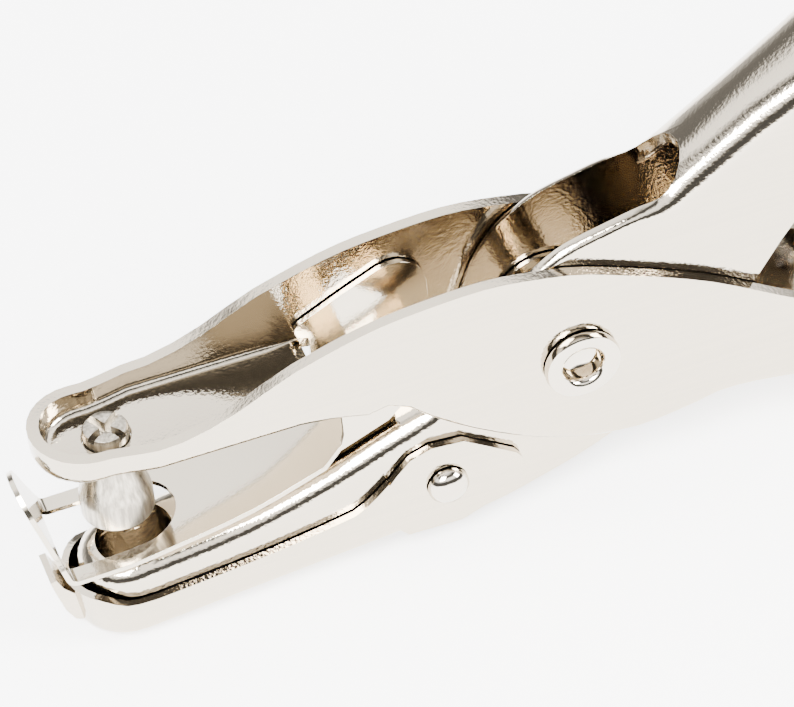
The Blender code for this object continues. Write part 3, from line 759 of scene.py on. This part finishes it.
def level_ramp(nodes, stops):
    """A grey ramp through (position, level) stops."""
    ramp = nodes.new("ShaderNodeValToRGB")
    marks = ramp.color_ramp.elements
    for mark, (height, level) in zip(marks, (stops[0], stops[-1])):
        mark.position = height
        mark.color = (level, level, level, 1.0)
    for height, level in stops[1:-1]:
        marks.new(height).color = (level, level, level, 1.0)
    return ramp


def make_world():
    """The room that the plating mirrors: light and dark bands, front and back."""
    world = bpy.data.worlds.new("room")
    bpy.context.scene.world = world
    world.use_nodes = True
    nodes = world.node_tree.nodes
    links = world.node_tree.links
    sky = nodes["Background"]
    spots = nodes.new("ShaderNodeTexCoord")
    split = nodes.new("ShaderNodeSeparateXYZ")
    links.new(spots.outputs["Generated"], split.inputs["Vector"])
    front = level_ramp(nodes, FRONT_BANDS)
    back = level_ramp(nodes, BACK_BANDS)
    links.new(split.outputs["Z"], front.inputs["Fac"])
    links.new(split.outputs["Z"], back.inputs["Fac"])
    side = nodes.new("ShaderNodeMapRange")
    side.inputs["From Min"].default_value = -SIDE_BLEND
    side.inputs["From Max"].default_value = SIDE_BLEND
    links.new(split.outputs["Y"], side.inputs["Value"])
    mixed = nodes.new("ShaderNodeMix")
    mixed.data_type = "RGBA"
    links.new(side.outputs["Result"], mixed.inputs["Factor"])
    links.new(front.outputs["Color"], mixed.inputs["A"])
    links.new(back.outputs["Color"], mixed.inputs["B"])
    links.new(mixed.outputs["Result"], sky.inputs["Color"])
    sky.inputs["Strength"].default_value = ROOM_STRENGTH


def make_light(name, place, towards, size, power):
    """A rectangular area lamp turned towards a point."""
    lamp = bpy.data.lights.new(name, "AREA")
    lamp.shape = "RECTANGLE"
    lamp.size, lamp.size_y = size
    lamp.energy = power
    made = bpy.data.objects.new(name, lamp)
    made.location = place
    made.rotation_euler = (Vector(towards) - Vector(place)).to_track_quat("-Z", "Y").to_euler()
    bpy.context.scene.collection.objects.link(made)


def make_camera():
    """Looks from the front left, above, with a slight tilt to the right."""
    data = bpy.data.cameras.new("view")
    data.sensor_width = 36.0
    data.lens = LENS_MM
    data.clip_start = 0.01
    made = bpy.data.objects.new("view", data)
    right = Vector(CAMERA_RIGHT).normalized()
    back = Vector(CAMERA_BACK).normalized()
    up = back.cross(right)
    turn = Matrix((right, up, back)).transposed().to_4x4()
    place = Vector((PIVOT_X + CAMERA_X, CAMERA_Y, PIVOT_Z + CAMERA_Z)) * MM
    made.matrix_world = Matrix.Translation(place) @ turn
    bpy.context.scene.collection.objects.link(made)
    bpy.context.scene.camera = made


# ----------------------------------------------------------------------- build
def stake_cross(punch, place):
    """Cuts two crossed grooves into the staked end of the punch."""
    top = UPPER_JAW_Z + STAKE_RISE
    for k in (0, 1):
        turn = Matrix.Rotation(math.radians(35 + 90 * k), 4, "Z")
        shift = Matrix.Translation(Vector((PUNCH_X, 0, top)) * MM)
        groove = extruded([(-3, 1.0), (3, 1.0), (3, 0.3), (0, -1.5), (-3, 0.3)], -0.32, 0.32)
        tool = cutter("stake_groove_%d" % k, groove, place @ shift @ turn)
        cut(punch, tool)
    soften(punch, 0.1)
    return punch


def soften(made, width):
    """Rounds the cut edges of a sheet piece."""
    edge = made.modifiers.new("edges", "BEVEL")
    edge.width = width * MM
    edge.segments = 2
    edge.limit_method = "ANGLE"
    edge.angle_limit = math.radians(BEVEL_DEG)
    edge.harden_normals = True


def main():
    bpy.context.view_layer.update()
    still = Matrix.Translation(Vector((PIVOT_X, 0, PIVOT_Z)) * MM)
    swung = still @ Matrix.Rotation(math.radians(-JAW_OPEN_DEG), 4, "Y")

    plate = nickel("nickel_plate", (0.50, 0.44, 0.35), 0.07, peel=1.0, scratches=0.3)
    bright = nickel("bright_nickel", (0.54, 0.485, 0.40), 0.06, peel=0.4)
    leafy = nickel("leaf_steel", (0.52, 0.465, 0.375), 0.09, peel=0.3)
    lathe = nickel(
        "turned_steel", (0.50, 0.45, 0.37), 0.28, scratches=6.0, brushed=TURNING_MARKS,
    )
    wire = nickel("spring_steel", (0.55, 0.54, 0.53), 0.2)

    groups = {
        "punch_lever": (
            make_punch_lever(plate, still), stake_cross(make_punch_pin(lathe, still), still),
            make_pivot_rivet(bright, still), make_pivot_washer(bright, still),
            make_spring_pin(bright, still),
        ),
        "die_lever": (
            make_die_lever(plate, swung), make_tray_nub("tray_rivet_near", -1, bright, swung),
            make_tray_nub("tray_rivet_far", 1, bright, swung),
        ),
        "chip_tray": (make_chip_tray(plate, swung),),
        "stripper": (make_stripper(leafy, still),),
    }
    coil, arm = make_springs(wire, still)
    groups["punch_lever"] += (coil,)
    groups["spring_arm"] = (arm,)
    for body, made in groups.items():
        for piece in made:
            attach(piece, body)
            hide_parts(piece.name.replace("shown_", ""))
    make_floor()
    make_world()
    make_light("key", (-0.5, -0.7, 0.9), (0, 0, 0), (0.6, 0.6), 80)
    make_light("fill", (0.9, -0.5, 0.7), (0, 0, 0), (0.5, 0.5), 36)
    make_camera()


main()
